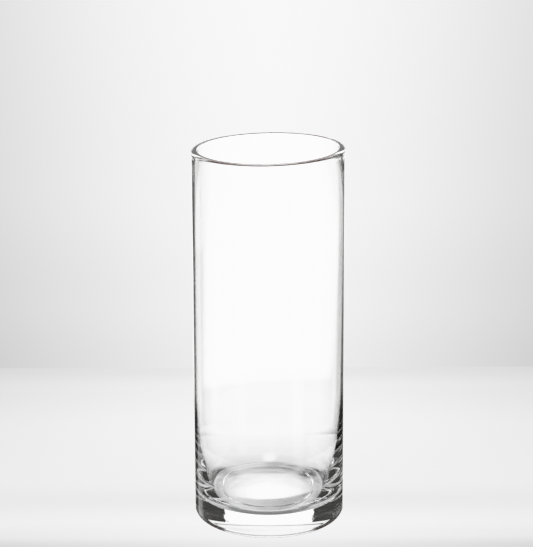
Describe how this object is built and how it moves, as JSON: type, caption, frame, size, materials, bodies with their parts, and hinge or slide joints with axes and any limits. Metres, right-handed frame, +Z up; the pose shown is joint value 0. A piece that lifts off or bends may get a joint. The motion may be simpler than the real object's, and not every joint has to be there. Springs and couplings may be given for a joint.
{
  "type": "cylinder vase",
  "caption": "Tall clear glass cylinder vase with a round polished lip and a thick, slightly hollow base that stands flat.",
  "frame": {"origin": "centre of the standing ring, in the plane that the vase stands on", "axes": "+Z up along the vase's axis; the shape is the same all round, so +X and +Y are free"},
  "size_m": [0.1014, 0.1014, 0.255],
  "materials": {
    "clear_glass": "clear, colourless, fire-polished soda-lime glass with a faint green-grey depth in the thick base"
  },
  "bodies": {
    "root": {"glass_body": "clear_glass"}
  },
  "joints": []
}
